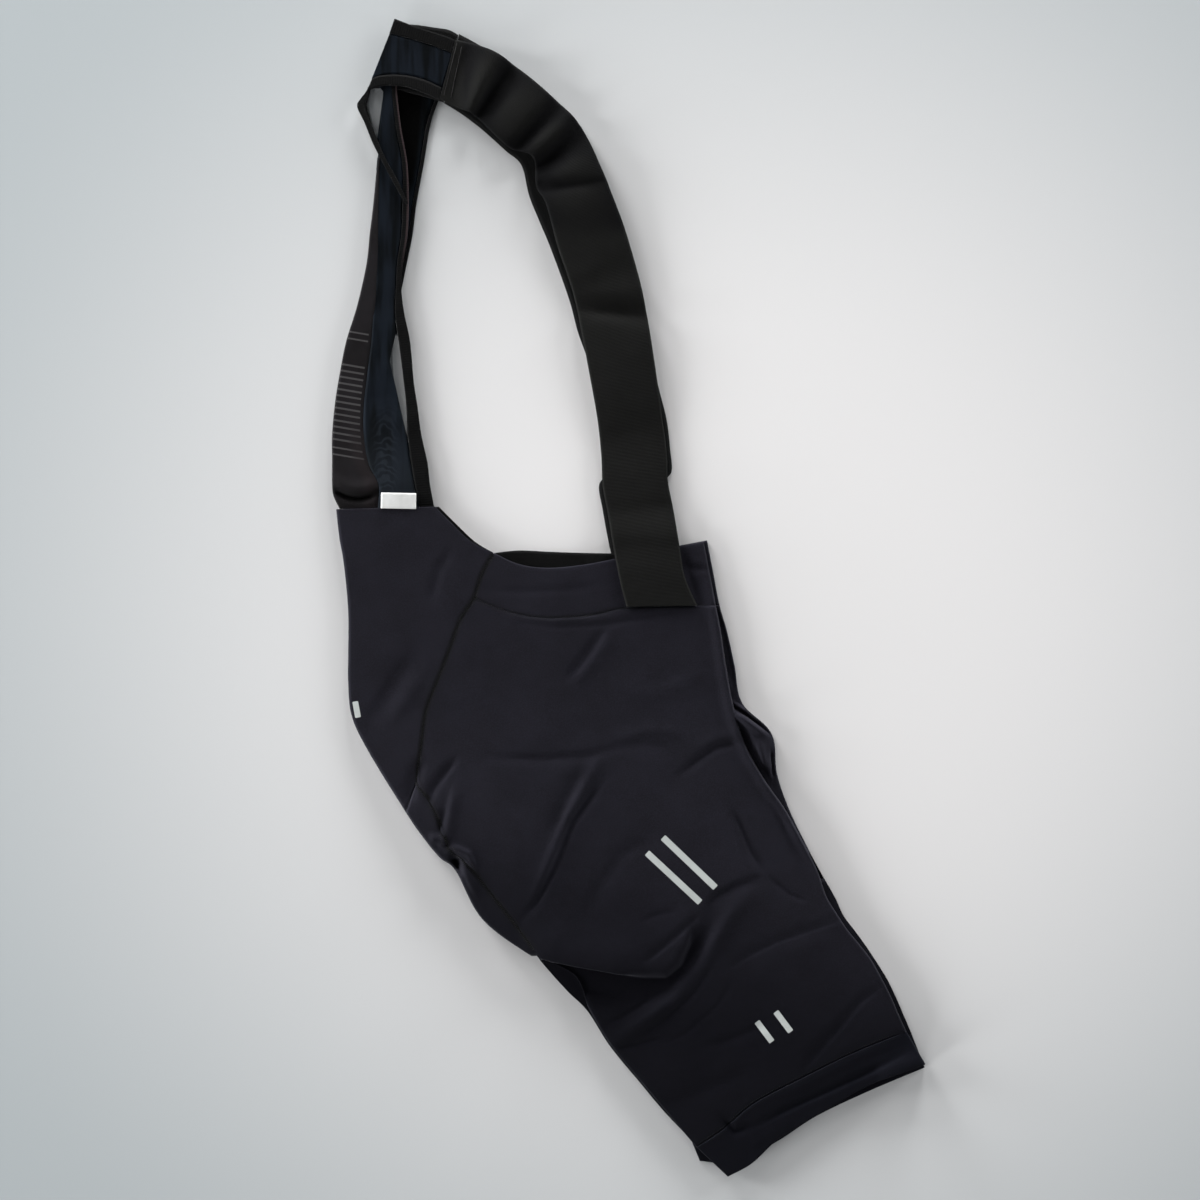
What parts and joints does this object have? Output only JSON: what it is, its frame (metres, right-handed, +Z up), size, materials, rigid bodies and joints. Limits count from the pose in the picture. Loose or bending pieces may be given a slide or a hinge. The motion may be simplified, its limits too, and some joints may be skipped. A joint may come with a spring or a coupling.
{
  "type": "cycling bib shorts",
  "caption": "Men's cycling bib shorts laid flat on their left side, with elastic shoulder straps, a mesh back and banded leg ends.",
  "frame": {"origin": "middle of the bounding box's underside, on the surface the garment lies on", "axes": "+Z up off the surface, +Y towards the shoulders and along the garment's length, +X towards the front of the body"},
  "size_m": [0.4739, 0.9276, 0.0124],
  "materials": {
    "lycra": "matte stretch knit",
    "hem_knit": "matte grip knit",
    "strap_elastic": "matte woven elastic",
    "mesh": "open mesh knit",
    "binding": "matte folded elastic",
    "centre_panel": "matte knit",
    "label_satin": "woven satin"
  },
  "bodies": {
    "root": {"waistband_right": "lycra", "waistband_left": "lycra", "side_panel_right": "lycra", "side_panel_left": "lycra", "rear_panel_right": "lycra", "rear_panel_left": "lycra", "gusset_right": "lycra", "gusset_left": "lycra", "inner_thigh_right": "lycra", "inner_thigh_left": "lycra", "hem_band_right": "hem_knit", "hem_band_left": "hem_knit", "strap_right": "strap_elastic", "strap_left": "strap_elastic", "mesh_back_right": "mesh", "mesh_back_left": "mesh", "binding_side_right": "binding", "binding_side_left": "binding", "binding_neck_right": "binding", "binding_neck_left": "binding", "back_centre_panel": "centre_panel", "label": "label_satin"}
  },
  "joints": []
}
